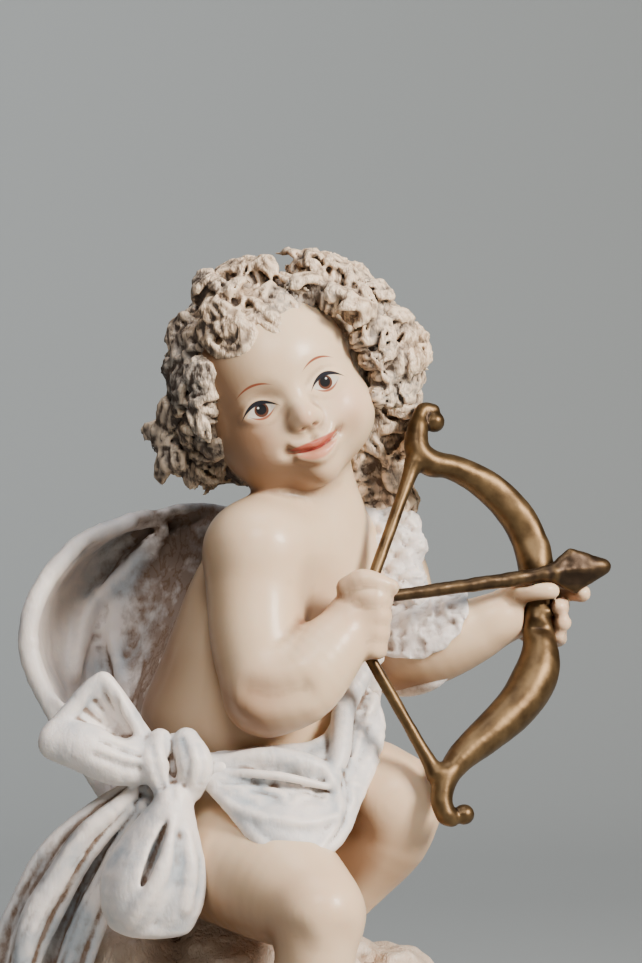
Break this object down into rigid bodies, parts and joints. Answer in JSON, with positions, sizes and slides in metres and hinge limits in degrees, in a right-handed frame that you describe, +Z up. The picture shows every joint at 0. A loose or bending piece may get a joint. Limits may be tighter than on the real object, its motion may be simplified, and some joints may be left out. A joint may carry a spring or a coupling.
{
  "type": "cherub figurine",
  "caption": "Seated cherub figurine on a rock, drawing a bow with an arrow, with a billowing scarf tied at the hip.",
  "frame": {"origin": "on the flat underside of the rock, below the middle of the seated figure", "axes": "+Z up along the figure's height, -Y towards the viewer of the picture, +X the way the arrow points"},
  "size_m": [0.1354, 0.1043, 0.2146],
  "materials": {
    "cherub": "matt hand-painted casting resin: cream skin, beige hair, washed blue-white scarf, cream-brown rock",
    "bow": "bronze-gold metallic paint, darker in the hollows",
    "arrow": "bronze-gold metallic paint, darker in the hollows"
  },
  "bodies": {
    "root": {"cherub": "cherub", "bow": "bow", "arrow": "arrow"}
  },
  "joints": []
}
